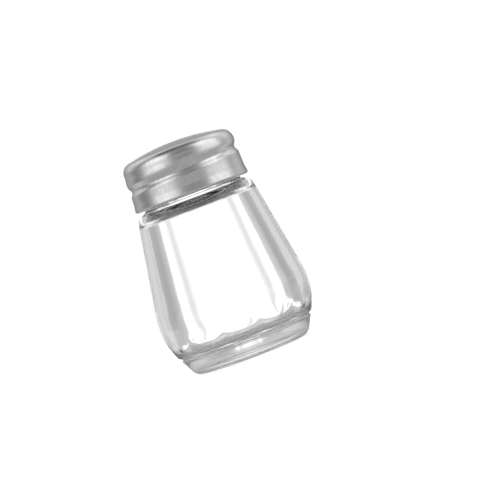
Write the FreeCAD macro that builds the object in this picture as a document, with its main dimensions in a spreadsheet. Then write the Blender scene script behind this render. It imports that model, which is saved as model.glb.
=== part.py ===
import FreeCAD, Part
import math
import os
import re
from dataclasses import dataclass
import Sketcher

# Spice jar: a pressed glass jar, a soft sealing washer on its rim and a stamped steel screw cap.
# Millimetres and degrees, +Z up. The origin is at the centre of the foot, on the surface the jar stands on.
# One flat of the glass faces -Y, and the cap is screwed home.

SIZES = {
    # Glass side, from the tuck above the foot to the shoulder
    "belly_radius": 14.33,
    "belly_rise": 5.95,
    "belly_curve_share": 3.025,
    "tuck_curve": 1.2,
    "shoulder_height": 30.85,
    "shoulder_curve": 2.0,
    # Flats cut side by side round the tuck, whose lower ends make its scallops
    "flat_count": 12,
    "flat_rise": 0.7,
    "flat_inset": 1.14,
    "flat_angle": 33.0,
    # Round foot, the step above it and the hollow under it
    "step_inset": 1.71,
    "step_rise": 0.45,
    "step_depth": 0.22,
    "foot_inset": 0.07,
    "foot_height": 3.3,
    "foot_angle": 27.0,
    "heel_curve": 2.0,
    "rest_width": 1.4,
    "punt_depth": 1.0,
    # Inside of the glass and its neck
    "floor_height": 4.0,
    "belly_wall": 1.7,
    "shoulder_wall": 1.3,
    "cavity_heel": 2.0,
    "throat_angle": 60.0,
    "throat_drop": 0.75,
    "neck_wall": 1.9,
    "neck_play": 0.5,
    "rim_bevel": 0.4,
    # Cap sheet, from the dome down to the hem
    "cap_depth": 10.1,
    "cap_radius": 10.55,
    "cap_corner": 1.9,
    "dome_curve": 40.0,
    "sheet": 0.4,
    "skirt_flare": 0.15,
    "flare_rise": 1.7,
    "edge_flare": 0.35,
    "edge_gap": 0.45,
    "hem_width": 0.8,
    "hem_rise": 0.9,
    "hem_bevel": 0.25,
    # Rolled thread, which the sheet forms in one turn, and the sprinkle holes
    "roll_pitch": 3.0,
    "roll_width": 1.8,
    "roll_flat": 0.5,
    "roll_depth": 0.43,
    "roll_height_share": 0.455,
    "roll_lap_angle": 6.0,
    "hole_radius": 0.8,
    "hole_ring": 3.2,
    "hole_count": 6,
    # Washer
    "washer_thickness": 0.7,
    "washer_inset": 0.6,
    "washer_lip": 0.2,
    "washer_play": 0.1,
    # Every cut runs this far past what it cuts
    "overrun": 1.0,
}

# Places that the outlines take from the sizes above
STEP = "(belly_radius - step_inset)"
STEP_UP = "(foot_height + step_rise)"
FOOT = f"({STEP} - foot_inset)"
HEEL = f"({FOOT} - (foot_height - heel_curve) * tan(foot_angle) - heel_curve / cos(foot_angle))"
PUNT = f"({HEEL} - rest_width)"
BELLY_UP = f"({STEP_UP} + belly_rise)"
BELLY_CURVE = "(belly_curve_share * belly_rise)"
FLAT_FOOT = "(belly_radius - flat_inset - flat_rise * tan(flat_angle))"
FLAT_HEAD = f"({STEP_UP} + flat_rise + (flat_inset + overrun) / tan(flat_angle))"
CAVITY_BELLY = "(belly_radius - belly_wall)"
CAVITY_CURVE = f"({BELLY_CURVE} - belly_wall)"
EDGE_UP = "(shoulder_height + edge_gap)"
EDGE = "(cap_radius + edge_flare)"
SKIRT = "(cap_radius + skirt_flare)"
TOP = f"({EDGE_UP} + cap_depth)"
DOME_CENTRE = f"({TOP} - dome_curve)"
CORNER_CENTRE = "(cap_radius - cap_corner)"
ROLL_START = f"({EDGE_UP} + roll_height_share * cap_depth - roll_pitch / 2)"
NECK = "(cap_radius - roll_depth - sheet - neck_play)"
MOUTH = f"({NECK} - neck_wall)"
WASHER = f"({NECK} - washer_inset)"
DOME_UNDERSIDE = f"({DOME_CENTRE} + sqrt((dome_curve - sheet)^2 - {WASHER}^2))"
RIM = f"({DOME_UNDERSIDE} - washer_play - washer_thickness)"

# A straight side runs from a belly arc to a shoulder arc, which starts level at the neck, and touches both
BELLY_CENTRE = f"(belly_radius - {BELLY_CURVE})", BELLY_UP
SHOULDER_CENTRE = NECK, "(shoulder_height - shoulder_curve)"
SIDE_REACH, SIDE_RISE = (f"({end} - {start})" for start, end in zip(BELLY_CENTRE, SHOULDER_CENTRE))


def lean(belly, shoulder):
    """Give the formula of a side's lean, in degrees, from the radii of the two arcs that it touches."""
    span = f"sqrt({SIDE_REACH}^2 + {SIDE_RISE}^2)"
    return f"((atan2({SIDE_RISE}; {SIDE_REACH}) - acos(({belly} - {shoulder}) / {span})) / 1 deg)"


SIDE_LEAN = lean(BELLY_CURVE, "shoulder_curve")
CAVITY_LEAN = lean(CAVITY_CURVE, "(shoulder_curve - shoulder_wall)")

doc = FreeCAD.newDocument("SpiceJar")
sizes = doc.addObject("Spreadsheet::Sheet", "Sizes")
for row, (alias, number) in enumerate(SIZES.items(), start=1):
    sizes.set(f"A{row}", alias)
    sizes.set(f"B{row}", str(number))
    sizes.setAlias(f"B{row}", alias)
doc.recompute()


def bound(formula):
    """Point each size's name in a formula at its cell of the sheet."""
    return re.sub(r"[a-z]\w*", lambda word: f"Sizes.{word[0]}" if word[0] in SIZES else word[0], formula)


def value(formula):
    """Work out a formula in the sheet's sizes."""
    return float(sizes.evalExpression(bound(formula)))


@dataclass
class Corner:
    """A corner of a closed outline, and the edge that leaves it.

    across and up are formulas. Where the edges' own sizes settle the place, guess is about where it is.
    The edge is an arc where radius is given: hollow if it bends into the outlined area, with its centre held
    at the two formulas of centre. It follows on smoothly from the edge before where smooth is set.
    heading is the direction of a straight edge, in degrees from across.
    """
    across: str = None
    up: str = None
    guess: tuple = None
    radius: str = None
    hollow: bool = False
    centre: tuple = None
    smooth: bool = False
    heading: str = None

    def place(self):
        """Give the corner's first position, from its guess or its formulas."""
        return self.guess or (value(self.across), value(self.up))


def flat(point):
    """Put a point of an outline into the sketch's plane."""
    return FreeCAD.Vector(point[0], point[1], 0)


def arc_between(start, end, radius, hollow):
    """Make the shorter arc from start to end, bending out of the outlined area or, if hollow, into it."""
    if hollow:
        start, end = end, start
    chord = math.dist(start, end)
    reach = math.sqrt(max(radius ** 2 - (chord / 2) ** 2, 0)) / chord
    across = (start[0] + end[0]) / 2 - (end[1] - start[1]) * reach
    up = (start[1] + end[1]) / 2 + (end[0] - start[0]) * reach
    turns = [math.atan2(point[1] - up, point[0] - across) for point in (start, end)]
    return Part.ArcOfCircle(Part.Circle(flat((across, up)), FreeCAD.Vector(0, 0, 1), radius), *turns)


def bind(sketch, formula, number, *constraint):
    """Add a constraint and tie its number to a formula."""
    index = sketch.addConstraint(Sketcher.Constraint(*constraint, number))
    sketch.setExpression(f"Constraints[{index}]", bound(formula))


def hold(sketch, edge, end, across, up):
    """Hold one point of an edge at two formulas, or on the axis where a formula is zero."""
    for kind, axis, formula in (("DistanceX", -2, across), ("DistanceY", -1, up)):
        if formula == "0":
            sketch.addConstraint(Sketcher.Constraint("PointOnObject", edge, end, axis))
        elif formula:
            bind(sketch, formula, value(formula), kind, -1, 1, edge, end)


def origin_part(body, role):
    """Find one of a body's own origin planes or axes."""
    return next(item for item in body.Origin.OriginFeatures if item.Role == role)


def attach(item, body, plane):
    """Lay a sketch or a primitive on one of a body's origin planes."""
    item.AttachmentSupport = [(origin_part(body, plane), "")]
    item.MapMode = "FlatFace"
    return item


def new_sketch(body, plane, name):
    """Start a sketch on one of a body's origin planes."""
    return attach(body.newObject("Sketcher::SketchObject", name), body, plane)


def circle(body, plane, name, across, up, radius):
    """Draw one circle, with its place and size bound."""
    sketch = new_sketch(body, plane, name)
    centre = flat((value(across), value(up)))
    sketch.addGeometry(Part.Circle(centre, FreeCAD.Vector(0, 0, 1), value(radius)))
    hold(sketch, 0, 3, across, up)
    bind(sketch, radius, value(radius), "Radius", 0)
    return sketch


def outline(body, plane, name, corners):
    """Draw a closed outline, counter-clockwise through its corners, with its sizes bound."""
    sketch = new_sketch(body, plane, name)
    places = [corner.place() for corner in corners]
    ends = []
    for corner, start, end in zip(corners, places, places[1:] + places[:1]):
        if corner.radius:
            sketch.addGeometry(arc_between(start, end, value(corner.radius), corner.hollow))
        else:
            sketch.addGeometry(Part.LineSegment(flat(start), flat(end)))
        ends.append((2, 1) if corner.hollow else (1, 2))
    last = len(corners) - 1
    for edge, corner in enumerate(corners):
        before = edge - 1 if edge else last
        kind = "Tangent" if corner.smooth else "Coincident"
        sketch.addConstraint(Sketcher.Constraint(kind, before, ends[before][1], edge, ends[edge][0]))
    for edge, corner in enumerate(corners):
        hold(sketch, edge, ends[edge][0], corner.across, corner.up)
        if corner.centre:
            hold(sketch, edge, 3, *corner.centre)
        if corner.radius:
            bind(sketch, corner.radius, value(corner.radius), "Radius", edge)
        if corner.heading:
            bind(sketch, corner.heading, math.radians(value(corner.heading)), "Angle", edge)
    if sketch.solve() != 0:
        raise RuntimeError(f"the outline {name} can't be solved")
    return sketch


def along(point, heading, distance):
    """Give the point at a distance from another, along a heading in degrees."""
    turn = math.radians(heading)
    return point[0] + distance * math.cos(turn), point[1] + distance * math.sin(turn)


def tuck_join(apex, curve, tuck, low=None, floor=None):
    """Give where a belly's main arc meets the smaller arc under it.

    The smaller arc starts at the point low, or else lies on the floor.
    """
    main = apex[0] - curve, apex[1]
    inner = curve - tuck
    if low:
        gap = math.dist(main, low)
        turn = math.acos((inner ** 2 + gap ** 2 - tuck ** 2) / (2 * inner * gap))
        heading = math.degrees(math.atan2(low[1] - main[1], low[0] - main[0]) + turn)
    else:
        heading = math.degrees(math.asin((floor + tuck - main[1]) / inner))
    return along(main, heading, curve)


def side_foot(apex, curve, side):
    """Give where a belly's main arc runs into its straight side."""
    return along((apex[0] - curve, apex[1]), side, curve)


def bevel_join(foot, side, bevel, end):
    """Give where a straight side meets a bevel that leans in further and ends at a point."""
    turn = math.radians(90 + bevel)
    run = (end[0] - foot[0]) * math.sin(turn) - (end[1] - foot[1]) * math.cos(turn)
    return along(foot, 90 + side, run / math.sin(math.radians(bevel - side)))


def turned(body, kind, name, profile):
    """Turn a profile about the upright axis, to add or cut a round form."""
    made = body.newObject(f"PartDesign::{kind}", name)
    made.Profile = profile
    made.ReferenceAxis = (profile, ["V_Axis"])
    return made


def wound(body, kind, name, profile, pitch, turns):
    """Wind a profile upwards about the upright axis, right-handed."""
    made = turned(body, kind, name, profile)
    made.Mode = "pitch-turns-angle"
    made.setExpression("Pitch", bound(pitch))
    made.setExpression("Turns", bound(turns))
    return made


def cut_through(body, name, profile, side):
    """Cut a profile right through the piece, on one side of its plane or on both."""
    made = body.newObject("PartDesign::Pocket", name)
    made.Profile = profile
    made.Type = "ThroughAll"
    made.SideType = side
    return made


def ring_of(body, name, cut, count):
    """Repeat a cut evenly round the upright axis."""
    ring = body.newObject("PartDesign::PolarPattern", name)
    ring.Originals = [cut]
    ring.Axis = (origin_part(body, "Z_Axis"), [""])
    ring.Angle = 360
    ring.setExpression("Occurrences", bound(count))
    body.Tip = ring


def new_body(label):
    """Start a sub-part, in place in the shared frame."""
    body = doc.addObject("PartDesign::Body", label)
    body.Label = label
    body.Placement = FreeCAD.Placement()
    return body


def glass_jar():
    """Pressed glass: a round form with flats cut round its tuck, hollowed out from the mouth."""
    body = new_body("glass_jar")
    side = value(SIDE_LEAN)
    apex_up = value(BELLY_UP)

    apex, curve = (value("belly_radius"), apex_up), value(BELLY_CURVE)
    tuck = tuck_join(apex, curve, value("tuck_curve"), low=(value(STEP), value(STEP_UP)))
    shoulder = along(tuple(map(value, SHOULDER_CENTRE)), side, value("shoulder_curve"))
    heel = value(HEEL), value("heel_curve")
    form = outline(body, "XZ_Plane", "RoundForm", [
        Corner("0", "punt_depth"),
        Corner(f"{PUNT} - punt_depth", "punt_depth"),
        Corner(PUNT, "0"),
        Corner(up="0", guess=(heel[0], 0), radius="heel_curve", smooth=True),
        Corner(guess=along(heel, -value("foot_angle"), heel[1]), smooth=True, heading="90 - foot_angle"),
        Corner(FOOT, "foot_height"),
        Corner(f"{FOOT} - step_depth", "foot_height + step_rise / 2"),
        Corner(STEP, STEP_UP, radius="tuck_curve"),
        Corner(guess=tuck, radius=BELLY_CURVE, smooth=True, centre=BELLY_CENTRE),
        Corner(guess=side_foot(apex, curve, side), smooth=True),
        Corner(guess=shoulder, smooth=True, radius="shoulder_curve", centre=(NECK, None)),
        Corner(NECK, "shoulder_height"),
        Corner(NECK, f"{RIM} - rim_bevel"),
        Corner(f"{NECK} - rim_bevel", RIM),
        Corner("0", RIM),
    ])
    turned(body, "Revolution", "Blank", form)

    face = outline(body, "XZ_Plane", "FlatFace", [
        Corner(FLAT_FOOT, STEP_UP),
        Corner("belly_radius + overrun", STEP_UP),
        Corner("belly_radius + overrun", FLAT_HEAD),
    ])
    ring_of(body, "Flats", cut_through(body, "Flat", face, "Symmetric"), "flat_count")

    cavity_side = value(CAVITY_LEAN)
    cavity_apex, cavity_curve = (value(CAVITY_BELLY), apex_up), value(CAVITY_CURVE)
    floor, heel_size = value("floor_height"), value("cavity_heel")
    cavity_tuck = tuck_join(cavity_apex, cavity_curve, heel_size, floor=floor)
    floor_end = value(BELLY_CENTRE[0]) + math.sqrt(
        (cavity_curve - heel_size) ** 2 - (floor + heel_size - apex_up) ** 2)
    cavity_foot = side_foot(cavity_apex, cavity_curve, cavity_side)
    throat = MOUTH, "shoulder_height - throat_drop"
    cavity_top = bevel_join(cavity_foot, cavity_side, value("throat_angle"), tuple(map(value, throat)))
    inside = outline(body, "XZ_Plane", "Inside", [
        Corner("0", "floor_height"),
        Corner(up="floor_height", guess=(floor_end, floor), smooth=True, radius="cavity_heel"),
        Corner(guess=cavity_tuck, smooth=True, radius=CAVITY_CURVE, centre=BELLY_CENTRE),
        Corner(guess=cavity_foot, smooth=True, heading=f"90 + {CAVITY_LEAN}"),
        Corner(guess=cavity_top, heading="90 + throat_angle"),
        Corner(*throat),
        Corner(MOUTH, f"{RIM} - rim_bevel"),
        Corner(f"{MOUTH} + rim_bevel", RIM),
        Corner(f"{MOUTH} + rim_bevel", f"{RIM} + overrun"),
        Corner("0", f"{RIM} + overrun"),
    ])
    turned(body, "Groove", "Cavity", inside)
    return body


def cap_corner_places(inset):
    """Give where the cap's dome meets its rounded corner and where the corner meets the wall."""
    dome = 0, value(DOME_CENTRE)
    corner = value(CORNER_CENTRE), value(
        f"{DOME_CENTRE} + sqrt((dome_curve - cap_corner)^2 - {CORNER_CENTRE}^2)")
    radius = value("cap_corner") - inset
    wall_foot = value(SKIRT) - inset, value(f"{EDGE_UP} + flare_rise")
    drop = math.atan2(wall_foot[1] - corner[1], wall_foot[0] - corner[0])
    wall_heading = math.degrees(drop + math.acos(radius / math.dist(wall_foot, corner)))
    dome_heading = math.degrees(math.atan2(corner[1] - dome[1], corner[0] - dome[0]))
    return along(dome, dome_heading, value("dome_curve") - inset), along(corner, wall_heading, radius)


def shaker_cap():
    """Stamped steel: a domed shell with a hemmed edge, a thread rolled into its side and sprinkle holes."""
    body = new_body("shaker_cap")
    inner_dome, inner_wall = cap_corner_places(value("sheet"))
    outer_dome, outer_wall = cap_corner_places(0)
    hem_inside = f"({EDGE} - hem_width)"
    section = outline(body, "XZ_Plane", "SheetSection", [
        Corner("0", f"{TOP} - sheet", radius="dome_curve - sheet", hollow=True, centre=("0", None)),
        Corner(guess=inner_dome, smooth=True, radius="cap_corner - sheet", hollow=True,
               centre=(CORNER_CENTRE, None)),
        Corner(guess=inner_wall, smooth=True),
        Corner(f"{SKIRT} - sheet", f"{EDGE_UP} + flare_rise"),
        Corner(f"{EDGE} - sheet", f"{EDGE_UP} + hem_rise"),
        Corner(hem_inside, f"{EDGE_UP} + hem_rise"),
        Corner(hem_inside, f"{EDGE_UP} + hem_bevel"),
        Corner(f"{hem_inside} + hem_bevel", EDGE_UP),
        Corner(f"{EDGE} - hem_bevel", EDGE_UP),
        Corner(EDGE, f"{EDGE_UP} + hem_bevel"),
        Corner(SKIRT, f"{EDGE_UP} + flare_rise"),
        Corner(guess=outer_wall, smooth=True, radius="cap_corner", centre=(CORNER_CENTRE, None)),
        Corner(guess=outer_dome, smooth=True, radius="dome_curve", centre=("0", None)),
        Corner("0", TOP),
    ])
    turned(body, "Revolution", "Shell", section)

    # The roll presses the sheet inwards: a bead on the inside carries the sheet round the groove outside
    bead_start = f"({ROLL_START} - roll_pitch * roll_lap_angle / 360)"
    bead_section = outline(body, "YZ_Plane", "BeadSection", [
        Corner("cap_radius - sheet / 2", f"{bead_start} + roll_width / 2"),
        Corner("cap_radius - roll_depth - sheet", f"{bead_start} + roll_flat / 2"),
        Corner("cap_radius - roll_depth - sheet", f"{bead_start} - roll_flat / 2"),
        Corner("cap_radius - sheet / 2", f"{bead_start} - roll_width / 2"),
    ])
    bead_section.AttachmentOffset = FreeCAD.Placement(
        FreeCAD.Vector(), FreeCAD.Rotation(FreeCAD.Vector(0, -1, 0), value("roll_lap_angle")))
    bead_section.setExpression("AttachmentOffset.Rotation.Angle", bound("roll_lap_angle"))
    wound(body, "AdditiveHelix", "Bead", bead_section, "roll_pitch", "1 + 2 * roll_lap_angle / 360")
    spread = "(sheet * (roll_width - roll_flat) / (2 * roll_depth))"
    groove_section = outline(body, "YZ_Plane", "GrooveSection", [
        Corner("cap_radius - roll_depth", f"{ROLL_START} + roll_flat / 2"),
        Corner("cap_radius - roll_depth", f"{ROLL_START} - roll_flat / 2"),
        Corner("cap_radius + sheet", f"{ROLL_START} - roll_width / 2 - {spread}"),
        Corner("cap_radius + sheet", f"{ROLL_START} + roll_width / 2 + {spread}"),
    ])
    wound(body, "SubtractiveHelix", "Groove", groove_section, "roll_pitch", "1")

    middle = circle(body, "XY_Plane", "MiddleHole", "0", "0", "hole_radius")
    cut_through(body, "MiddleSprinkle", middle, "Symmetric")
    hole = circle(body, "XY_Plane", "RingHole", "hole_ring", "0", "hole_radius")
    ring_of(body, "Sprinkles", cut_through(body, "Sprinkle", hole, "Symmetric"), "hole_count")
    return body


def sealing_washer():
    """Soft ring, punched from sheet, that lies on the glass rim under the dome."""
    body = new_body("sealing_washer")
    bore = f"{MOUTH} + washer_lip"
    section = outline(body, "XZ_Plane", "RingSection", [
        Corner(bore, "0"),
        Corner(WASHER, "0"),
        Corner(WASHER, "washer_thickness"),
        Corner(bore, "washer_thickness"),
    ])
    turned(body, "Revolution", "Ring", section)
    body.setExpression("Placement.Base.z", bound(RIM))
    return body


def check(bodies):
    """Stop unless every object is sound, every cut removes material and every piece is one solid."""
    for item in doc.Objects:
        if {"Invalid", "Error"} & set(item.State):
            raise RuntimeError(f"{item.Name} failed: {item.getStatusString()}")
        base = getattr(item, "BaseFeature", None)
        adds = item.TypeId == "PartDesign::AdditiveHelix"
        if base and (item.Shape.Volume > base.Shape.Volume) != adds:
            raise RuntimeError(f"{item.Name} works the wrong way")
    for body in bodies:
        if body.Shape.isNull() or not body.Shape.isValid() or len(body.Shape.Solids) != 1:
            raise RuntimeError(f"{body.Label} is not one sound solid")


pieces = [glass_jar(), sealing_washer(), shaker_cap()]
doc.recompute()
check(pieces)
os.makedirs("parts", exist_ok=True)
for piece in pieces:
    piece.Shape.exportStep(f"parts/{piece.Label}.step")
    print(piece.Label, round(piece.Shape.Volume, 1), "mm3")
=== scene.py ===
"""Spice jar: a clear pressed glass jar, a soft washer on its rim and a stamped steel shaker cap.

Sizes are in millimetres and angles in degrees, and a mesh turns them into metres. Only the depths of a finish
are in metres. +Z is up, the jar stands on z = 0, one flat of the glass faces -Y, and the camera looks along
+Y, leaning to one side.
"""

import logging
import math
from dataclasses import dataclass, field
from enum import Enum
from typing import Any

import bpy
import numpy as np
from mathutils import Matrix, Vector


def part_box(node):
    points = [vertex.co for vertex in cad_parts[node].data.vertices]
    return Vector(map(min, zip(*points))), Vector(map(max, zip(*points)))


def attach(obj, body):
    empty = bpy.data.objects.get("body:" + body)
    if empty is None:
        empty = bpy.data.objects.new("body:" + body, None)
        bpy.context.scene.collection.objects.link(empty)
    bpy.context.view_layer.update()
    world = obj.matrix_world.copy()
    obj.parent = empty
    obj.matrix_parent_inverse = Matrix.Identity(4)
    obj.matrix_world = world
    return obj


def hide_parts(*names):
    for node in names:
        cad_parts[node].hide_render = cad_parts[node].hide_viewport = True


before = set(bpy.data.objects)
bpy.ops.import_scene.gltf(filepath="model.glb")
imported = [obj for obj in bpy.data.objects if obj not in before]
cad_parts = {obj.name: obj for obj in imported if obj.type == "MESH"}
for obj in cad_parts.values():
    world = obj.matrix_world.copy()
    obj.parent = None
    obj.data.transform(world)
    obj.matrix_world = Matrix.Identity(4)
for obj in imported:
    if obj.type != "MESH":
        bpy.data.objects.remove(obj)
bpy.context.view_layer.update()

MM = 0.001
FULL_TURN = 360.0
# Points of an outline, or of a skin, that are closer than this are one
SAME_POINT = 1e-6
MERGED_POINT = 1e-4
# How far the glass stays inside the box of its solid
CLEARANCE = 0.003
# The attribute that marks the inside of a sheet
INSIDE_MARK = "inside"

Colour = tuple[float, ...]
Pair = tuple[float, float]
log = logging.getLogger("spice_jar")


def metres(*lengths: float) -> list[float]:
    """Turn millimetres into metres."""
    return [length * MM for length in lengths]


# Surfaces

def smooth_step(low: float, high: float, value: np.ndarray) -> np.ndarray:
    """Rise from 0 to 1 between two values, level at both ends: 3t squared less 2t cubed."""
    t = np.clip((value - low) / (high - low), 0.0, 1.0)
    return t * t * (3.0 - 2.0 * t)


def soft_min(first: np.ndarray, second: np.ndarray, softness: float) -> np.ndarray:
    """Take the smaller: half of the sum less the root of the squared difference plus 4 softness squared."""
    return 0.5 * (first + second - np.sqrt((first - second) ** 2 + 4.0 * softness ** 2))


def hump(away: np.ndarray, width: float) -> np.ndarray:
    """Fall from 1 in the middle to 0 at half the width on both sides, as a cosine squared."""
    return np.cos(np.clip(away / width * np.pi, -np.pi / 2.0, np.pi / 2.0)) ** 2


class Outline:
    """A profile in radius and height, walked from point to point."""

    def __init__(self, radius: float, height: float) -> None:
        """Start at a point."""
        self._runs: list[np.ndarray] = [np.array([[radius, height]])]

    def to(self, radius: float, height: float, steps: int = 1) -> "Outline":
        """Add a straight run, in even steps from the last point.

        Args:
            radius: where the run ends, from the axis.
            height: where the run ends, from the floor.
            steps: how many points the run adds.

        Returns:
            The outline itself.
        """
        share = np.linspace(0.0, 1.0, steps + 1)[1:, None]
        last = self._runs[-1][-1]
        self._runs.append(last + share * (np.array([radius, height]) - last))
        return self

    def bend(self, centre: Pair, radius: float, first: float, last: float, steps: int) -> "Outline":
        """Add an arc: its centre plus the radius times the cosine and the sine of an even sweep.

        Args:
            centre: the arc's centre, as radius and height.
            radius: the arc's own radius.
            first: the angle at its start, 0 pointing outwards and 90 upwards.
            last: the angle at its end.
            steps: how many steps it is made in.

        Returns:
            The outline itself.
        """
        sweep = np.radians(np.linspace(first, last, steps + 1))
        self._runs.append(np.array(centre) + radius * np.column_stack([np.cos(sweep), np.sin(sweep)]))
        return self

    def along(self, radius: np.ndarray, height: np.ndarray) -> "Outline":
        """Add a run through points, by their distances from the axis and their heights."""
        self._runs.append(np.column_stack([radius, height]))
        return self

    def points(self) -> np.ndarray:
        """Put the runs together, without repeated points.

        Returns:
            The radius and height of each point.
        """
        walked = np.concatenate(self._runs)
        apart = np.linalg.norm(np.diff(walked, axis=0), axis=1) > SAME_POINT
        return walked[np.concatenate([[True], apart])]


@dataclass
class SideLine:
    """The upright line of a bulging wall: a tuck above the foot, the belly's arc and a straight side.

    Each part touches the next. The tuck is the smaller arc that starts at the point low.
    """
    belly: float
    belly_height: float
    curve: float
    tuck: float
    low: Pair
    lean: float

    def radius_at(self, height: np.ndarray) -> np.ndarray:
        """Give the wall's radius at each height.

        On an arc the radius is the centre's plus the root of the squared curve less the squared rise above
        the centre. On the side it shrinks by the tangent of the lean.

        Args:
            height: the heights.

        Returns:
            The radii.
        """
        main = np.array([self.belly - self.curve, self.belly_height])
        gap = np.array(self.low) - main
        inner, span = self.curve - self.tuck, np.hypot(*gap)
        turn = math.acos((inner ** 2 + span ** 2 - self.tuck ** 2) / (2.0 * inner * span))
        heading = math.atan2(gap[1], gap[0]) + turn
        tuck = main + inner * np.array([math.cos(heading), math.sin(heading)])
        join = main[1] + self.curve * math.sin(heading)
        lean = math.radians(self.lean)
        side = main + self.curve * np.array([math.cos(lean), math.sin(lean)])
        on_tuck = tuck[0] + np.sqrt(np.maximum(self.tuck ** 2 - (height - tuck[1]) ** 2, 0.0))
        on_belly = main[0] + np.sqrt(np.maximum(self.curve ** 2 - (height - main[1]) ** 2, 0.0))
        on_side = side[0] - (height - side[1]) * math.tan(lean)
        return np.where(height < join, on_tuck, np.where(height < side[1], on_belly, on_side))


@dataclass
class Helix:
    """A right-hand thread: its height rises by the pitch in each turn and its form fades at both ends."""
    start_angle: float
    start_height: float
    pitch: float
    first_turn: float
    last_turn: float
    fade: float

    def strands(self, angle: np.ndarray, height: np.ndarray) -> list[tuple[np.ndarray, np.ndarray]]:
        """Give each turn's distance above the thread's line and its strength.

        The line's height is the start's plus the pitch times the turns gone round from the start angle. The
        strength rises from 0 to 1 over the fade at the first turn and falls again at the last.

        Args:
            angle: the angles about the axis, in degrees.
            height: the heights.

        Returns:
            A pair of arrays for each turn that may pass there.
        """
        share = np.mod((angle - self.start_angle) / FULL_TURN, 1.0)
        found = []
        for whole in range(math.floor(self.first_turn - self.fade), math.ceil(self.last_turn + self.fade)):
            turns = share + whole
            strength = (smooth_step(self.first_turn - self.fade, self.first_turn + self.fade, turns)
                        * (1.0 - smooth_step(self.last_turn - self.fade, self.last_turn + self.fade, turns)))
            found.append((height - self.start_height - self.pitch * turns, strength))
        return found


@dataclass
class Skin:
    """Points and faces of one piece, put together from grids, with a mark on the points of its inside."""
    name: str
    points: list[np.ndarray] = field(default_factory=list)
    marks: list[np.ndarray] = field(default_factory=list)
    faces: list[np.ndarray] = field(default_factory=list)

    def grid(self, surface: np.ndarray, inside: np.ndarray | None = None, poles: bool = False) -> None:
        """Add a grid of rows and columns whose last column joins its first.

        Each face takes a point, the next in its row and the two above them. A row at a pole becomes one.

        Args:
            surface: the places, by row, column and axis.
            inside: 1 for each row on the inside of a sheet and 0 for the others, or nothing where all are 0.
            poles: the first and the last row are single points on the axis.
        """
        rows, columns = surface.shape[:2]
        start = sum(len(part) for part in self.points)
        index = start + np.arange(rows * columns).reshape(rows, columns)
        if poles:
            index[[0, -1]] = index[[0, -1], :1]
        after = np.roll(index, -1, axis=1)
        quads = np.stack([index[:-1], after[:-1], after[1:], index[1:]], axis=-1).reshape(-1, 4)
        self.points.append(surface.reshape(-1, 3))
        self.marks.append(np.repeat(np.zeros(rows) if inside is None else inside, columns))
        self.faces.append(quads)

    def piece(self, body: str, node: str) -> bpy.types.Object:
        """Make the object, merge its points that coincide, and let it ride on its body.

        All the faces are turned over together where most of them point inwards.

        Args:
            body: the body that it moves with.
            node: the solid that it stands for.

        Returns:
            The new object.
        """
        places = np.concatenate(self.points) * MM
        rounded = np.round(places / (MM * MERGED_POINT)).astype(np.int64)
        _, kept, joined = np.unique(rounded, axis=0, return_index=True, return_inverse=True)
        faces = joined.reshape(-1)[np.concatenate(self.faces)]
        places = places[kept]
        corner = places[faces]
        outward = np.einsum("ij,ij->", corner[:, 0] + corner[:, 2],
                            np.cross(corner[:, 2] - corner[:, 0], corner[:, 3] - corner[:, 1]))
        if outward < 0.0:
            faces = faces[:, ::-1]
        repeated = faces == np.roll(faces, 1, axis=1)
        quads = faces[~repeated.any(axis=1)]
        pinched = repeated.sum(axis=1) == 1
        corners = faces[pinched][~repeated[pinched]].reshape(-1, 3)
        mesh = bpy.data.meshes.new(self.name)
        mesh.from_pydata(places.tolist(), [], quads.tolist() + corners.tolist())
        mesh.polygons.foreach_set("use_smooth", np.ones(len(mesh.polygons), dtype=bool))
        mesh.validate()
        mesh.update()
        marks = np.concatenate(self.marks)[kept].astype(np.float32)
        mesh.attributes.new(INSIDE_MARK, "FLOAT", "POINT").data.foreach_set("value", marks)
        made = bpy.data.objects.new(self.name, mesh)
        bpy.context.scene.collection.objects.link(made)
        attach(made, body)
        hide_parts(node)
        log.info("%s: %d faces, rides on %s", self.name, len(mesh.polygons), body)
        return made


def turned(radius: np.ndarray, height: np.ndarray, angle: np.ndarray) -> np.ndarray:
    """Place a surface about the axis: radius times the cosine and the sine of the angle, and the height.

    Args:
        radius: radii by row, or by row and column.
        height: heights by row, or by row and column.
        angle: one angle for each column, in degrees.

    Returns:
        The places by row, column and axis.
    """
    turn = np.radians(angle)[None, :]
    radius = radius[:, None] if radius.ndim == 1 else radius
    height = height[:, None] if height.ndim == 1 else height
    radius, height = np.broadcast_arrays(radius, height + 0.0 * turn)
    return np.stack([radius * np.cos(turn), radius * np.sin(turn), height], axis=-1)


# Shader maths

class Maths(Enum):
    """The sums that a Math node is asked for."""
    ADD = "ADD"
    SUBTRACT = "SUBTRACT"
    MULTIPLY = "MULTIPLY"
    ANGLE = "ARCTAN2"


class Wire:
    """A socket of a node, which adds Math nodes when it is used in an expression."""

    def __init__(self, graph: "Graph", socket: bpy.types.NodeSocket | None) -> None:
        """Keep the graph and the socket, which a node without outputs doesn't have."""
        self.graph = graph
        self.socket = socket

    def __add__(self, other: "Wire | float") -> "Wire":
        """Add."""
        return self.graph.sum(Maths.ADD, self, other)

    __radd__ = __add__

    def __sub__(self, other: "Wire | float") -> "Wire":
        """Subtract."""
        return self.graph.sum(Maths.SUBTRACT, self, other)

    def __rsub__(self, other: "Wire | float") -> "Wire":
        """Subtract this from a number."""
        return self.graph.sum(Maths.SUBTRACT, other, self)

    def __mul__(self, other: "Wire | float") -> "Wire":
        """Multiply."""
        return self.graph.sum(Maths.MULTIPLY, self, other)

    __rmul__ = __mul__


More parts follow.
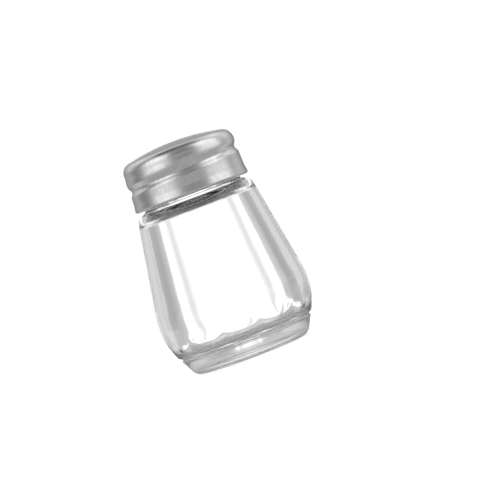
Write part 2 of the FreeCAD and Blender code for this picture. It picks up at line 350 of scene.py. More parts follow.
class Graph:
    """A node tree that is being put together."""

    def __init__(self, tree: bpy.types.NodeTree) -> None:
        """Empty a tree and keep it."""
        self.tree = tree
        tree.nodes.clear()

    def add(self, kind: str, settings: dict[str, Any] | None = None,
            sockets: dict[str | int, Any] | None = None, output: str | int = 0) -> Wire:
        """Make a node.

        Args:
            kind: the node's type.
            settings: what is set on the node first, such as an operation.
            sockets: a value or a link for each named or numbered input.
            output: the output that is wanted.

        Returns:
            The wanted output.
        """
        node = self.tree.nodes.new(kind)
        for name, value in (settings or {}).items():
            setattr(node, name, value)
        for name, value in (sockets or {}).items():
            if isinstance(value, Wire):
                self.tree.links.new(value.socket, node.inputs[name])
            else:
                node.inputs[name].default_value = value
        return Wire(self, node.outputs[output] if len(node.outputs) else None)

    def sum(self, operation: Maths, first: Wire | float, second: Wire | float) -> Wire:
        """Make a Math node of two values."""
        return self.add("ShaderNodeMath", {"operation": operation.value}, {0: first, 1: second})

    def step(self, value: Wire, low: float, high: float, start: float = 0.0, end: float = 1.0) -> Wire:
        """Map a value smoothly, from the start where it is low to the end where it is high."""
        return self.add("ShaderNodeMapRange", {"interpolation_type": "SMOOTHSTEP"},
                        {"Value": value, "From Min": low, "From Max": high, "To Min": start, "To Max": end})

    def between(self, value: Wire, low: float, high: float, blur: float) -> Wire:
        """Give 1 where a value is between two others and 0 elsewhere, blurred by as much to either side."""
        return self.step(value, low - blur, low + blur) * self.step(value, high - blur, high + blur, 1.0, 0.0)

    def noise(self, place: Wire, scale: float, layers: float, strength: float = 0.5) -> Wire:
        """Give even noise between about 0 and 1, with a number of finer layers and their strength."""
        return self.add("ShaderNodeTexNoise", None,
                        {"Vector": place, "Scale": scale, "Detail": layers, "Roughness": strength})

    def mixed(self, share: Wire, first: Wire | Colour, second: Wire | Colour) -> Wire:
        """Mix two colours by the share of the second."""
        return self.add("ShaderNodeMix", {"data_type": "RGBA"}, {0: share, 6: first, 7: second}, output=2)

    def apart(self, place: Wire) -> list[Wire]:
        """Take a place apart into its three numbers."""
        node = self.add("ShaderNodeSeparateXYZ", None, {0: place}).socket.node
        return [Wire(self, socket) for socket in node.outputs]

    def bump(self, height: Wire, depth: float) -> Wire:
        """Turn a height of about 0 to 1 into a normal, where 1 is as high as the depth."""
        return self.add("ShaderNodeBump", None, {"Height": height, "Distance": depth, "Strength": 1.0})


def new_material(name: str) -> tuple[bpy.types.Material, Graph]:
    """Start a material.

    Args:
        name: what it is called.

    Returns:
        The material and its empty graph.
    """
    material = bpy.data.materials.new(name)
    material.use_nodes = True
    return material, Graph(material.node_tree)


# Finishes

@dataclass(frozen=True)
class ClearGlass:
    """Pressed clear glass, with the faint waves and flow marks that a mould leaves."""
    name: str = "clear_glass"
    refraction: float = 1.52
    clear: Colour = (0.995, 0.998, 0.996, 1.0)
    thick: Colour = (0.965, 0.975, 0.97, 1.0)
    wave_scale: float = 160.0
    wave_layers: float = 2.0
    wave_depth: float = 0.00001
    cloud_scale: float = 480.0
    cloud_layers: float = 3.0
    polish: float = 0.0
    haze: float = 0.03
    haze_start: float = 0.55
    haze_full: float = 0.8
    base_haze: float = 0.12
    base_fades: Pair = (5.0, 7.0)

    def material(self) -> bpy.types.Material:
        """Make the material: clear, with slow waves, slight haze where the noise peaks, and a hazier base.

        Returns:
            The material.
        """
        material, graph = new_material(self.name)
        place = graph.add("ShaderNodeTexCoord", output="Object")
        wave = graph.noise(place, self.wave_scale, self.wave_layers)
        cloud = graph.noise(place, self.cloud_scale, self.cloud_layers)
        _, _, height = graph.apart(place)
        base = graph.step(height, *metres(*self.base_fades), self.base_haze, 0.0)
        shader = graph.add("ShaderNodeBsdfPrincipled", None, {
            "Base Color": graph.mixed(cloud, self.clear, self.thick),
            "Roughness": graph.step(cloud, self.haze_start, self.haze_full, self.polish, self.haze) + base,
            "IOR": self.refraction,
            "Transmission Weight": 1.0,
            "Normal": graph.bump(wave, self.wave_depth),
        })
        graph.add("ShaderNodeOutputMaterial", None, {"Surface": shader})
        return material


@dataclass(frozen=True)
class SatinSteel:
    """Brushed sheet steel with cloudy polish, darker where it turns away, and pale lacquer inside."""
    name: str = "satin_steel"
    bright: Colour = (0.78, 0.78, 0.79, 1.0)
    dull: Colour = (0.62, 0.62, 0.63, 1.0)
    smooth: float = 0.2
    rough: float = 0.36
    scratch_count: float = 55.0
    scratch_run: float = 12.0
    scratch_layers: float = 5.0
    scratch_strength: float = 0.7
    scratch_depth: float = 0.000006
    cloud_scale: float = 450.0
    cloud_layers: float = 3.0
    cloud_strength: float = 0.6
    scratch_share: float = 0.6
    worn_start: float = 0.3
    worn_full: float = 0.7
    rim_shade: float = 0.5
    lacquer: Colour = (0.88, 0.88, 0.86, 1.0)

    def material(self) -> bpy.types.Material:
        """Make the material: noise that is stretched along the brushing, on a place scaled to a unit circle.

        Where the sheet is marked as inside, lacquer takes the place of bare metal.

        Returns:
            The material.
        """
        material, graph = new_material(self.name)
        place = graph.add("ShaderNodeTexCoord", output="Object")
        flat = graph.add("ShaderNodeVectorMath", {"operation": "MULTIPLY"}, {0: place, 1: (1.0, 1.0, 0.0)})
        around = graph.add("ShaderNodeVectorMath", {"operation": "NORMALIZE"}, {0: flat})
        along = graph.add("ShaderNodeVectorMath", {"operation": "MULTIPLY"},
                          {0: place, 1: (0.0, 0.0, self.scratch_run)})
        brushed = graph.add("ShaderNodeVectorMath", {"operation": "ADD"}, {0: around, 1: along})
        scratch = graph.noise(brushed, self.scratch_count, self.scratch_layers, self.scratch_strength)
        cloud = graph.noise(place, self.cloud_scale, self.cloud_layers, self.cloud_strength)
        worn = self.scratch_share * scratch + (1.0 - self.scratch_share) * cloud
        inside = graph.add("ShaderNodeAttribute", {"attribute_name": INSIDE_MARK}, output="Fac")
        steel = graph.mixed(graph.step(worn, self.worn_start, self.worn_full), self.dull, self.bright)
        shader = graph.add("ShaderNodeBsdfPrincipled", None, {
            "Base Color": graph.mixed(inside, steel, self.lacquer),
            "Metallic": 1.0 - inside,
            "Specular Tint": (self.rim_shade, self.rim_shade, self.rim_shade, 1.0),
            "Roughness": graph.step(worn, self.worn_start, self.worn_full, self.rough, self.smooth),
            "Normal": graph.bump(scratch, self.scratch_depth),
        })
        graph.add("ShaderNodeOutputMaterial", None, {"Surface": shader})
        return material


@dataclass(frozen=True)
class WasherPlastic:
    """Soft milky plastic with a fine moulded grain."""
    name: str = "washer_plastic"
    pale: Colour = (0.86, 0.86, 0.83, 1.0)
    dark: Colour = (0.76, 0.76, 0.73, 1.0)
    grain: float = 1500.0
    grain_layers: float = 3.0
    grain_start: float = 0.3
    grain_full: float = 0.7
    grain_depth: float = 0.00001
    smooth: float = 0.45
    rough: float = 0.6
    milkiness: float = 0.15
    milky_depth: tuple[float, ...] = (0.0006, 0.0006, 0.0005)

    def material(self) -> bpy.types.Material:
        """Make the material: two close colours and a matt grain.

        Returns:
            The material.
        """
        material, graph = new_material(self.name)
        place = graph.add("ShaderNodeTexCoord", output="Object")
        grain = graph.noise(place, self.grain, self.grain_layers)
        shader = graph.add("ShaderNodeBsdfPrincipled", None, {
            "Base Color": graph.mixed(grain, self.pale, self.dark),
            "Roughness": graph.step(grain, self.grain_start, self.grain_full, self.smooth, self.rough),
            "Subsurface Weight": self.milkiness,
            "Subsurface Radius": self.milky_depth,
            "Normal": graph.bump(grain, self.grain_depth),
        })
        graph.add("ShaderNodeOutputMaterial", None, {"Surface": shader})
        return material


# Pieces

@dataclass
class GlassJar:
    """The jar: a round side with a ring of flats over its foot, and a neck with a glass thread.

    The throat, the thick base and the inside corner bend the light into pale and dark bands.
    """
    belly: float
    rim: float
    columns_in_flat: int = 20
    punt_rows: int = 24
    close_rows: int = 55
    close_top: float = 6.8
    side_rows: int = 59
    shoulder_rows: int = 19
    shoulder_sweep: Pair = (8.0, 80.0)
    flat_count: int = 12
    flat: float = 13.12
    flat_height: float = 4.45
    flat_angle: float = 23.0
    edge_softness: float = 0.1
    belly_height: float = 9.7
    belly_curve: float = 18.0
    tuck: float = 1.2
    shoulder: float = 30.85
    shoulder_curve: float = 2.0
    step: float = 12.62
    step_height: float = 3.75
    step_depth: float = 0.2
    foot: float = 12.55
    foot_height: float = 3.3
    foot_angle: float = 27.0
    heel_curve: float = 2.0
    foot_round: float = 0.25
    foot_edge_share: float = 1.1
    foot_edge_turn: float = 80.0
    rest_width: float = 1.4
    punt_depth: float = 1.0
    punt_flat_share: float = 0.2
    neck: float = 9.22
    neck_wall: float = 1.9
    neck_fillet: float = 0.3
    rim_round: float = 0.5
    floor: float = 4.2
    wall: float = 1.7
    shoulder_wall: float = 1.3
    cavity_heel: float = 2.5
    throat_slope: float = 33.0
    throat_height: float = 30.65
    throat_round: float = 0.8
    hollow_round: float = 2.2
    thread: Helix = field(default_factory=lambda: Helix(
        start_angle=90.0, start_height=35.75, pitch=3.0, first_turn=-0.4, last_turn=0.8, fade=0.06))
    thread_height: float = 0.7
    thread_width: float = 1.7

    def lean(self, belly: float, shoulder: float) -> float:
        """Give the lean of the straight side that touches a belly arc and a shoulder arc.

        Args:
            belly: the belly arc's radius.
            shoulder: the shoulder arc's radius.

        Returns:
            The lean from upright, in degrees.
        """
        reach = self.neck - (self.belly - self.belly_curve)
        rise = self.shoulder - self.shoulder_curve - self.belly_height
        return math.degrees(math.atan2(rise, reach) - math.acos((belly - shoulder) / math.hypot(reach, rise)))

    def angles(self) -> np.ndarray:
        """Give the columns' angles, closer together near the flats' edges: half a flat times a sine.

        Returns:
            The angles round the jar, in degrees.
        """
        half = FULL_TURN / self.flat_count / 2.0
        share = np.linspace(-1.0, 1.0, self.columns_in_flat + 1)[:-1]
        within = half * np.sin(0.5 * np.pi * share)
        middles = np.arange(self.flat_count) * 2.0 * half
        return (middles[:, None] + within[None, :]).reshape(-1)

    def side(self, height: np.ndarray, angle: np.ndarray) -> np.ndarray:
        """Give the side's radius: the smaller of the round form and a flat, softened where they meet.

        A flat's radius is its distance from the axis over the cosine of the angle from its middle.

        Args:
            height: one height for each row.
            angle: one angle for each column, in degrees.

        Returns:
            The radii by row and column.
        """
        lean = self.lean(self.belly_curve, self.shoulder_curve)
        line = SideLine(self.belly, self.belly_height, self.belly_curve, self.tuck,
                        (self.step, self.step_height), lean)
        centre = self.shoulder - self.shoulder_curve
        arc = self.neck + np.sqrt(np.maximum(self.shoulder_curve ** 2 - (height - centre) ** 2, 0.0))
        above = height > centre + self.shoulder_curve * math.sin(math.radians(lean))
        form = np.where(above, arc, line.radius_at(height))
        each = FULL_TURN / self.flat_count
        from_middle = np.radians(np.mod(angle + each / 2.0, each) - each / 2.0)
        flat = self.flat + (height - self.flat_height) * math.tan(math.radians(self.flat_angle))
        return soft_min(form[:, None], flat[:, None] / np.cos(from_middle)[None, :], self.edge_softness)

    def underside(self) -> np.ndarray:
        """Walk from the middle of the hollow base over the foot to the step above it.

        Returns:
            The radius and height of each point.
        """
        lean = math.radians(self.foot_angle)
        slant = self.foot - (self.foot_height - self.heel_curve) * math.tan(lean)
        heel = slant - self.heel_curve / math.cos(lean)
        punt = heel - self.rest_width
        share = np.linspace(0.0, 1.0, self.punt_rows + 1)
        line = Outline(0.0, self.punt_depth)
        line.along(punt * share, self.punt_depth * (1.0 - smooth_step(self.punt_flat_share, 1.0, share)))
        line.to(heel, 0.0, steps=4)
        line.bend((heel, self.heel_curve), self.heel_curve, -90.0, -self.foot_angle, steps=14)
        level = self.foot_height - self.foot_round
        line.to(self.foot - self.foot_round * math.tan(lean), level, steps=10)
        line.bend((self.foot - self.foot_edge_share * self.foot_round, level), self.foot_round,
                  -self.foot_angle / 2.0, self.foot_edge_turn, steps=6)
        middle = (self.foot_height + self.step_height) / 2.0
        line.to(self.foot - self.step_depth, middle, steps=3).to(self.step, self.step_height, steps=4)
        return line.points()

    def neck_and_inside(self) -> np.ndarray:
        """Walk from the shoulder up the neck, over the rim and down the inside to the middle of the floor.

        Returns:
            The radius and height of each point.
        """
        bore, rim_round = self.neck - self.neck_wall, self.rim_round
        fillet = self.neck_fillet
        line = Outline(self.neck + fillet, self.shoulder)
        line.bend((self.neck + fillet, self.shoulder + fillet), fillet, -90.0, -180.0, steps=5)
        line.to(self.neck, self.rim - rim_round, steps=74)
        line.bend((self.neck - rim_round, self.rim - rim_round), rim_round, 0.0, 90.0, steps=6)
        line.to(bore + rim_round, self.rim, steps=3)
        line.bend((bore + rim_round, self.rim - rim_round), rim_round, 90.0, 180.0, steps=6)
        curve = self.belly_curve - self.wall
        lean = self.lean(curve, self.shoulder_curve - self.shoulder_wall)
        main = self.belly - self.belly_curve, self.belly_height
        tilted = math.radians(lean)
        side = main[0] + curve * math.cos(tilted), main[1] + curve * math.sin(tilted)
        # The throat slopes out from the bore to the side, with both corners rounded
        slope, tilt = math.radians(self.throat_slope), math.tan(tilted)
        soft, hollow = self.throat_round, self.hollow_round
        run, fall = math.cos(slope), math.sin(slope)
        steep = run / fall
        level = (self.throat_height * steep - side[1] * tilt - side[0] + bore) / (steep - tilt)
        corner = np.array([bore + (self.throat_height - level) * steep, level])
        bore_end = self.throat_height + soft * math.tan((math.pi / 2.0 - slope) / 2.0)
        line.to(bore, bore_end, steps=8)
        line.bend((bore + soft, bore_end), soft, 180.0, 270.0 - self.throat_slope, steps=8)
        back = hollow * math.tan(math.radians(90.0 - lean - self.throat_slope) / 2.0)
        start = corner - back * np.array([run, -fall])
        line.to(*start, steps=8)
        hollow_centre = tuple(start - hollow * np.array([fall, run]))
        line.bend(hollow_centre, hollow, 90.0 - self.throat_slope, lean, steps=16)
        line.to(*side, steps=24)
        heel, inner = self.cavity_heel, curve - self.cavity_heel
        low = math.degrees(math.asin((self.floor + heel - main[1]) / inner))
        line.bend(main, curve, lean, low, steps=22)
        heel_centre = main[0] + inner * math.cos(math.radians(low)), self.floor + heel
        line.bend(heel_centre, heel, low, -90.0, steps=18)
        line.to(0.0, self.floor, steps=12)
        return line.points()

    def build(self) -> bpy.types.Object:
        """Build the jar as one closed skin from the middle of its base to the middle of its floor.

        The rows follow the profile and the columns go round. On the side the radius comes from side(), and on
        the neck a rounded thread is added.

        Returns:
            The new object.
        """
        angle = self.angles()
        skin = Skin("jar_glass")
        under = self.underside()
        centre = self.shoulder - self.shoulder_curve
        sweep = np.radians(np.linspace(*self.shoulder_sweep, self.shoulder_rows + 1))
        round_rows = centre + self.shoulder_curve * np.sin(sweep)
        height = np.concatenate([
            np.linspace(self.step_height, self.close_top, self.close_rows + 1)[1:],
            np.linspace(self.close_top, round_rows[0], self.side_rows + 1)[1:],
            round_rows[1:],
        ])
        inside = self.neck_and_inside()
        rows = np.concatenate([under[:, 1], height, inside[:, 1]])
        radius = np.concatenate([
            np.repeat(under[:, :1], len(angle), axis=1),
            self.side(height, angle),
            np.repeat(inside[:, :1], len(angle), axis=1),
        ])
        on_neck = np.zeros(len(rows), dtype=bool)
        start = len(under) + len(height)
        on_neck[start:start + int(np.argmax(inside[:, 1])) + 1] = True
        neck_rows = rows[on_neck][:, None]
        raised = np.zeros((on_neck.sum(), len(angle)))
        for above, strength in self.thread.strands(angle[None, :], neck_rows):
            raised = np.maximum(raised, strength * self.thread_height * hump(above, self.thread_width))
        radius[on_neck] += raised
        skin.grid(turned(radius, rows, angle), poles=True)
        made = skin.piece("jar", "glass_jar")
        made.data.materials.append(ClearGlass().material())
        return made


@dataclass
class ShakerCap:
    """The cap: one sheet with a low dome, a rolled thread, a hemmed edge and sprinkle holes."""
    edge_height: float
    top: float
    edge: float
    columns: int = 240
    dome_rows: int = 11
    dome_rows_inside: int = 7
    sheet: float = 0.4
    wall: float = 10.55
    skirt: float = 10.7
    skirt_height: float = 33.0
    corner: float = 1.9
    dome_curve: float = 40.0
    hem_rise: float = 0.9
    hem_width: float = 0.8
    hem_fold: float = 0.12
    hem_gap: float = 0.08
    hem_drop: float = 0.1
    roll: Helix = field(default_factory=lambda: Helix(
        start_angle=90.0, start_height=34.4, pitch=3.0, first_turn=0.0, last_turn=1.0, fade=0.05))
    roll_depth: float = 0.43
    roll_width: float = 2.2
    ridge: float = 0.1
    ridge_share: float = 0.75
    hole: float = 0.8
    hole_ring: float = 3.2
    hole_count: int = 6
    hole_round: float = 0.12
    hole_rows: int = 6
    hole_round_rows: int = 4
    inner_border: float = 1.75
    outer_border: float = 4.8
    border_steps: int = 12

    def dome(self, radius: np.ndarray, inset: float) -> np.ndarray:
        """Give the dome's height: the centre's plus the root of the squared curve less the squared radius."""
        curve = self.dome_curve - inset
        return self.top - self.dome_curve + np.sqrt(curve ** 2 - radius ** 2)

    def section(self) -> np.ndarray:
        """Walk the sheet's section from the dome outside, down the skirt, round the hem and back up inside.

        Returns:
            The radius and height of each point.
        """
        low = self.top - self.dome_curve
        reach = self.dome_curve - self.corner
        centre = self.wall - self.corner, low + math.sqrt(reach ** 2 - (self.wall - self.corner) ** 2)
        turn = math.atan2(centre[1] - low, centre[0])
        outer = np.linspace(self.outer_border, self.dome_curve * math.cos(turn), self.dome_rows + 1)
        height = self.dome(outer, 0.0)
        line = Outline(outer[0], height[0]).along(outer, height)
        line.bend(centre, self.corner, math.degrees(turn), 0.0, steps=18)
        line.to(self.skirt, self.skirt_height, steps=56)
        bead, hem_top = self.hem_width / 2.0, self.edge_height + self.hem_rise
        line.to(self.edge, self.edge_height + bead, steps=12)
        line.bend((self.edge - bead, self.edge_height + bead), bead, 0.0, -180.0, steps=12)
        line.to(self.edge - self.hem_width, hem_top, steps=3)
        line.to(self.edge - self.hem_width + self.hem_fold, hem_top + self.hem_fold, steps=2)
        line.to(self.edge - self.sheet - self.hem_gap, hem_top + self.hem_fold - self.hem_drop, steps=3)
        line.to(self.skirt - self.sheet, self.skirt_height, steps=6)
        line.to(self.wall - self.sheet, centre[1], steps=56)
        line.bend(centre, self.corner - self.sheet, 0.0, math.degrees(turn), steps=14)
        inner_curve = self.dome_curve - self.sheet
        inner = np.linspace(inner_curve * math.cos(turn), self.outer_border, self.dome_rows_inside + 1)
        return line.along(inner, self.dome(inner, self.sheet)).points()

    def rolled(self, height: np.ndarray, angle: np.ndarray) -> np.ndarray:
        """Give how far the rolled thread moves the sheet: in at the groove, and slightly out above it.

        The groove is a hump about the thread's line, and the ridge is another one over it.

        Args:
            height: one height for each row.
            angle: one angle for each column, in degrees.

        Returns:
            What is added to the radius, by row and column.
        """
        moved = np.zeros((len(height), len(angle)))
        for above, strength in self.roll.strands(angle[None, :], height[:, None]):
            groove = hump(above, self.roll_width)
            ridge = hump(above - self.ridge_share * self.roll_width, self.roll_width)
            moved += strength * (self.ridge * ridge - self.roll_depth * groove)
        return moved

    def lift(self, flat: np.ndarray, inset: float, drop: np.ndarray | float = 0.0) -> np.ndarray:
        """Raise a flat pattern onto the dome, or under it by the inset of its inside and by the drop."""
        height = self.dome(np.hypot(flat[..., 0], flat[..., 1]), inset) - drop
        return np.concatenate([flat, height[..., None]], axis=-1)

    def holed(self, skin: Skin, loop: np.ndarray, centre: np.ndarray) -> None:
        """Fill the dome between a closed line and a round hole, outside and inside, and wall the hole.

        Each point of the line has a point of the hole in the same direction from the hole's centre, and the
        rows run straight from one to the other. The outer edge of the hole is rounded by a quarter circle.

        Args:
            skin: what the surfaces are added to.
            loop: the closed line, by point and axis.
            centre: the hole's centre.
        """
        outward = loop - centre
        outward = outward / np.linalg.norm(outward, axis=1, keepdims=True)
        share = np.linspace(1.0, 0.0, self.hole_rows + 1)[:, None, None]
        rim = centre + (self.hole + self.hole_round) * outward
        turn = np.radians(np.linspace(0.0, 90.0, self.hole_round_rows + 1))[1:, None, None]
        rounding = centre + (self.hole + self.hole_round * (1.0 - np.sin(turn))) * outward[None]
        drop = np.concatenate([np.zeros((len(share), 1)), self.hole_round * (1.0 - np.cos(turn[..., 0]))])
        outer = self.lift(np.concatenate([share * loop + (1.0 - share) * rim, rounding]), 0.0, drop)
        edge = centre + self.hole * outward
        under = self.lift((1.0 - share) * loop + share * edge, self.sheet)
        inside = np.concatenate([np.zeros(len(outer)), np.ones(len(under))])
        skin.grid(np.concatenate([outer, under]), inside)

    def build(self) -> bpy.types.Object:
        """Build the cap: the turned sheet with its rolled thread, and the holed middle of the dome.

        The ring of holes is cut into equal sectors, each of which is filled from its border to its hole.

        Returns:
            The new object.
        """
        skin = Skin("cap_sheet")
        angle = np.arange(self.columns) * FULL_TURN / self.columns
        section = self.section()
        radius = section[:, :1] + self.rolled(section[:, 1], angle)
        inside = (np.arange(len(section)) > np.argmin(section[:, 1])).astype(float)
        skin.grid(turned(radius, section[:, 1], angle), inside)
        ring = np.radians(angle)
        inner = self.inner_border * np.column_stack([np.cos(ring), np.sin(ring)])
        self.holed(skin, inner, np.zeros(2))
        each = self.columns // self.hole_count
        share = np.linspace(0.0, 1.0, self.border_steps + 1)[:-1]
        for sector in range(self.hole_count):
            middle = sector * FULL_TURN / self.hole_count
            spread = FULL_TURN / self.hole_count / 2.0
            sweep = np.linspace(-spread, spread, each + 1) + middle
            outwards = self.inner_border + share * (self.outer_border - self.inner_border)
            inwards = self.outer_border - share * (self.outer_border - self.inner_border)
            far = np.concatenate([
                np.full(each, self.outer_border), inwards, np.full(each, self.inner_border), outwards])
            turn = np.radians(np.concatenate([
                sweep[:-1], np.full(len(share), sweep[-1]), sweep[:0:-1], np.full(len(share), sweep[0])]))
            loop = far[:, None] * np.column_stack([np.cos(turn), np.sin(turn)])
            way = math.radians(middle)
            self.holed(skin, loop, self.hole_ring * np.array([math.cos(way), math.sin(way)]))
        made = skin.piece("cap", "shaker_cap")
        made.data.materials.append(SatinSteel().material())
        return made


@dataclass
class SealingWasher:
    """The washer: a soft ring with rounded edges."""
    low: float
    high: float
    outside: float
    inside: float = 7.52
    edge_round: float = 0.2
    columns: int = 180

    def build(self) -> bpy.types.Object:
        """Build the washer: a rectangle with rounded corners, turned about the axis.

        Returns:
            The new object.
        """
        soft = self.edge_round
        left, right = self.inside + soft, self.outside - soft
        down, up = self.low + soft, self.high - soft
        line = Outline(left, self.low)
        line.to(right, self.low, steps=4).bend((right, down), soft, -90.0, 0.0, steps=5)
        line.to(self.outside, up, steps=2).bend((right, up), soft, 0.0, 90.0, steps=5)
        line.to(left, self.high, steps=4).bend((left, up), soft, 90.0, 180.0, steps=5)
        line.to(self.inside, down, steps=2).bend((left, down), soft, 180.0, 270.0, steps=5)
        section = line.points()
        section = np.concatenate([section[:-1], section[:1]])
        skin = Skin("washer_ring")
        skin.grid(turned(section[:, 0], section[:, 1], np.arange(self.columns) * FULL_TURN / self.columns))
        made = skin.piece("washer", "sealing_washer")
        made.data.materials.append(WasherPlastic().material())
        return made


# Studio

class Facing(Enum):
    """The wall of the studio that a light's angles are counted from."""
    FRONT = -1.0
    BACK = 1.0


@dataclass(frozen=True)
class Softbox:
    """A soft light on the studio's dome, by its angles to the right of a wall's middle and upwards."""
    facing: Facing
    right: Pair
    up: Pair
    strength: float
    blur: float


@dataclass
class Studio:
    """White floor, a grey studio with soft lights and dark gaps between them, and a long lens that leans.

    A pair gives where a change on the floor or the dome starts and where it ends.
    """
    lens: float = 200.0
    sensor: float = 36.0
    seen: Pair = (10.0, 20000.0)
    picture_width: float = 91.07
    aim: tuple[float, float, float] = (6.206, 0.0, 17.94)
    lean: float = 20.6
    look_down: float = 1.48
    white: Colour = (1.0, 1.0, 1.0, 1.0)
    floor_half: float = 150.0
    floor_colour: Colour = (0.85, 0.85, 0.85, 1.0)
    floor_rough: float = 0.9
    floor_glow: float = 0.6
    floor_mirrored: float = 0.47
    floor_shade: float = 0.65
    shade_fades: Pair = (9.0, 22.0)
    strips_start: float = -66.0
    strips_rise: Pair = (24.0, 45.0)
    strips_behind: Pair = (0.0, 20.0)
    gaps_rise: Pair = (70.0, 120.0)
    ambient: float = 0.45
    through_fill: float = 0.35
    fill_on_floor: Pair = (-60.0, -20.0)
    fill_on_dome: Pair = (-0.2, 0.2)
    bounces: int = 32
    mirror_bounces: int = 16
    glass_bounces: int = 24
    softboxes: tuple[Softbox, ...] = (
        # Seen through the glass: a bright strip with two dark gaps, pale sides and a bright top
        Softbox(Facing.BACK, (-8.5, 7.1), (-20.0, 13.0), 0.85, 1.0),
        Softbox(Facing.BACK, (-11.2, 9.8), (-20.0, 13.0), 0.15, 2.0),
        Softbox(Facing.BACK, (-6.1, -4.5), (-20.0, 13.0), -0.83, 1.3),
        Softbox(Facing.BACK, (3.1, 4.7), (-20.0, 13.0), -0.83, 1.3),
        Softbox(Facing.BACK, (11.0, 20.0), (-20.0, 30.0), -0.08, 3.0),
        Softbox(Facing.BACK, (29.0, 65.0), (-20.0, 60.0), 0.25, 5.0),
        Softbox(Facing.BACK, (-65.0, -24.0), (-20.0, 60.0), 0.25, 5.0),
        Softbox(Facing.BACK, (-70.0, 70.0), (12.0, 36.0), 0.3, 4.0),
        Softbox(Facing.BACK, (-70.0, 70.0), (36.0, 62.0), 0.5, 6.0),
        # Mirrored in the cap: two bright patches, a dark middle between them, a dark side and a dark top
        Softbox(Facing.FRONT, (-79.0, -24.0), (-2.0, 55.0), 0.65, 7.0),
        Softbox(Facing.FRONT, (45.0, 97.0), (-2.0, 55.0), 0.65, 7.0),
        Softbox(Facing.FRONT, (-79.0, -24.0), (18.0, 55.0), 0.25, 6.0),
        Softbox(Facing.FRONT, (45.0, 97.0), (18.0, 55.0), 0.3, 6.0),
        Softbox(Facing.FRONT, (-20.0, 40.0), (16.0, 60.0), -0.22, 8.0),
        Softbox(Facing.FRONT, (-132.0, -88.0), (-90.0, 90.0), -0.2, 12.0),
        Softbox(Facing.FRONT, (-180.0, 180.0), (68.0, 95.0), -0.3, 5.0),
    )

    def camera(self) -> None:
        """Set the camera so that the picture's width covers picture_width at the jar, leaning by lean."""
        data = bpy.data.cameras.new("camera")
        data.lens, data.sensor_width = self.lens, self.sensor
        data.clip_start, data.clip_end = metres(*self.seen)
        made = bpy.data.objects.new("camera", data)
        bpy.context.scene.collection.objects.link(made)
        distance = self.picture_width * self.lens / self.sensor * MM
        down, lean = math.radians(self.look_down), math.radians(self.lean)
        away = Vector((0.0, -math.cos(down), math.sin(down)))
        upright = Vector((0.0, math.sin(down), math.cos(down)))
        right = Vector((1.0, 0.0, 0.0))
        across = math.cos(lean) * right - math.sin(lean) * upright
        upward = math.sin(lean) * right + math.cos(lean) * upright
        turn = Matrix((across, upward, away)).transposed().to_4x4()
        made.matrix_world = Matrix.Translation(Vector(self.aim) * MM + distance * away) @ turn
        bpy.context.scene.camera = made

    def floor(self) -> None:
        """Lay the floor: a white square, partly lit from within, so that it runs into the white back.

        The glass and the cap see the studio's strips go on in it, and a shade near the jar. Light that has
        come through the glass finds a paler front, as it does on the dome.
        """
        half = self.floor_half * MM
        mesh = bpy.data.meshes.new("floor")
        mesh.from_pydata([(-half, -half, 0.0), (half, -half, 0.0), (half, half, 0.0), (-half, half, 0.0)],
                         [], [(0, 1, 2, 3)])
        made = bpy.data.objects.new("floor", mesh)
        bpy.context.scene.collection.objects.link(made)
        material, graph = new_material("floor_white")
        white = graph.add("ShaderNodeBsdfPrincipled", None, {
            "Base Color": self.floor_colour, "Roughness": self.floor_rough, "Specular IOR Level": 0.0,
            "Emission Color": self.white, "Emission Strength": self.floor_glow,
        })
        place = graph.add("ShaderNodeTexCoord", output="Object")
        x, y, _ = graph.apart(place)
        across = graph.sum(Maths.ANGLE, x, y - self.strips_start * MM)
        away = graph.add("ShaderNodeVectorMath", {"operation": "LENGTH"}, {0: place}, output="Value")
        light = self.floor_mirrored * graph.step(away, *metres(*self.shade_fades), self.floor_shade, 1.0)
        clear = graph.step(away, *metres(*self.strips_rise)) * graph.step(y, *metres(*self.strips_behind))
        for box in self.softboxes:
            if box.facing is Facing.BACK and box.up[0] < 0.0:
                strip = graph.between(across, *np.radians([*box.right, box.blur]))
                if box.strength < 0.0:
                    strip = strip * graph.step(away, *metres(*self.gaps_rise))
                light = light + box.strength * (clear * strip)
        through = graph.add("ShaderNodeLightPath", output="Is Transmission Ray")
        light = light + through * graph.step(y, *metres(*self.fill_on_floor), self.through_fill, 0.0)
        pale = graph.add("ShaderNodeEmission", None, {"Color": light, "Strength": 1.0})
        seen = graph.add("ShaderNodeLightPath", output="Is Camera Ray")
        shader = graph.add("ShaderNodeMixShader", None, {0: seen, 1: pale, 2: white})
        graph.add("ShaderNodeOutputMaterial", None, {"Surface": shader})
        mesh.materials.append(material)

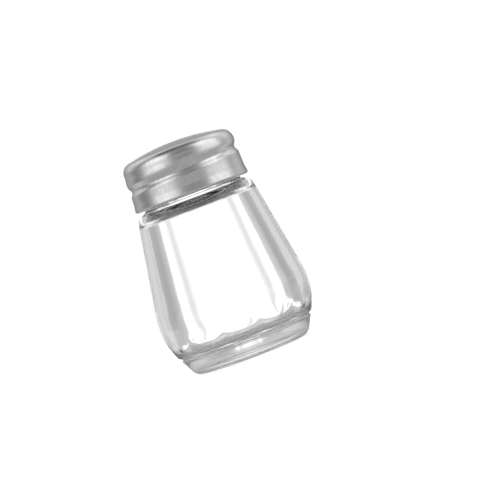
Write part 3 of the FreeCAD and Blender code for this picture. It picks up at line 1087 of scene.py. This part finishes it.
    def dome(self) -> None:
        """Light the studio by direction: an even grey and the soft lights. The camera sees white.

        Light that has come through the glass finds a paler front, so that the glass is clear from behind too.
        """
        world = bpy.data.worlds.new("studio")
        bpy.context.scene.world = world
        world.use_nodes = True
        graph = Graph(world.node_tree)
        way = graph.add("ShaderNodeTexCoord", output="Generated")
        x, y, z = graph.apart(way)
        right = {facing: graph.sum(Maths.ANGLE, x, facing.value * y) for facing in Facing}
        high = graph.add("ShaderNodeMath", {"operation": "ARCSINE"}, {0: z})
        light = self.ambient
        for box in self.softboxes:
            low_right, high_right, low_up, high_up, blur = np.radians([*box.right, *box.up, box.blur])
            light = light + box.strength * (graph.between(right[box.facing], low_right, high_right, blur)
                                            * graph.between(high, low_up, high_up, blur))
        through = graph.add("ShaderNodeLightPath", output="Is Transmission Ray")
        light = light + through * graph.step(y, *self.fill_on_dome, self.through_fill, 0.0)
        seen = graph.add("ShaderNodeLightPath", output="Is Camera Ray")
        strength = seen + (1.0 - seen) * light
        shader = graph.add("ShaderNodeBackground", None, {"Color": self.white, "Strength": strength})
        graph.add("ShaderNodeOutputWorld", None, {"Surface": shader})

    def build(self) -> None:
        """Set up the camera, the floor and the light, with enough bounces for clear glass."""
        self.camera()
        self.floor()
        self.dome()
        scene = bpy.context.scene
        scene.view_settings.view_transform = "Standard"
        scene.cycles.max_bounces = self.bounces
        scene.cycles.glossy_bounces = self.mirror_bounces
        scene.cycles.transmission_bounces = self.glass_bounces


def main() -> None:
    """Build the pieces around the frame, then the studio."""
    logging.basicConfig(level=logging.INFO, format="%(name)s: %(message)s")
    glass_low, glass_high = (np.array(corner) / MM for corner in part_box("glass_jar"))
    glass_reach, rim = min(*-glass_low[:2], *glass_high[:2]) - CLEARANCE, glass_high[2]
    cap_low, cap_high = (np.array(corner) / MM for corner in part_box("shaker_cap"))
    washer_low, washer_high = (np.array(corner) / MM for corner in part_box("sealing_washer"))
    GlassJar(belly=glass_reach, rim=rim).build()
    SealingWasher(low=washer_low[2], high=washer_high[2], outside=washer_high[0]).build()
    ShakerCap(edge_height=cap_low[2], top=cap_high[2], edge=cap_high[0]).build()
    Studio().build()
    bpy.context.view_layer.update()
    log.info("size noted")


if __name__ == "__main__":
    main()
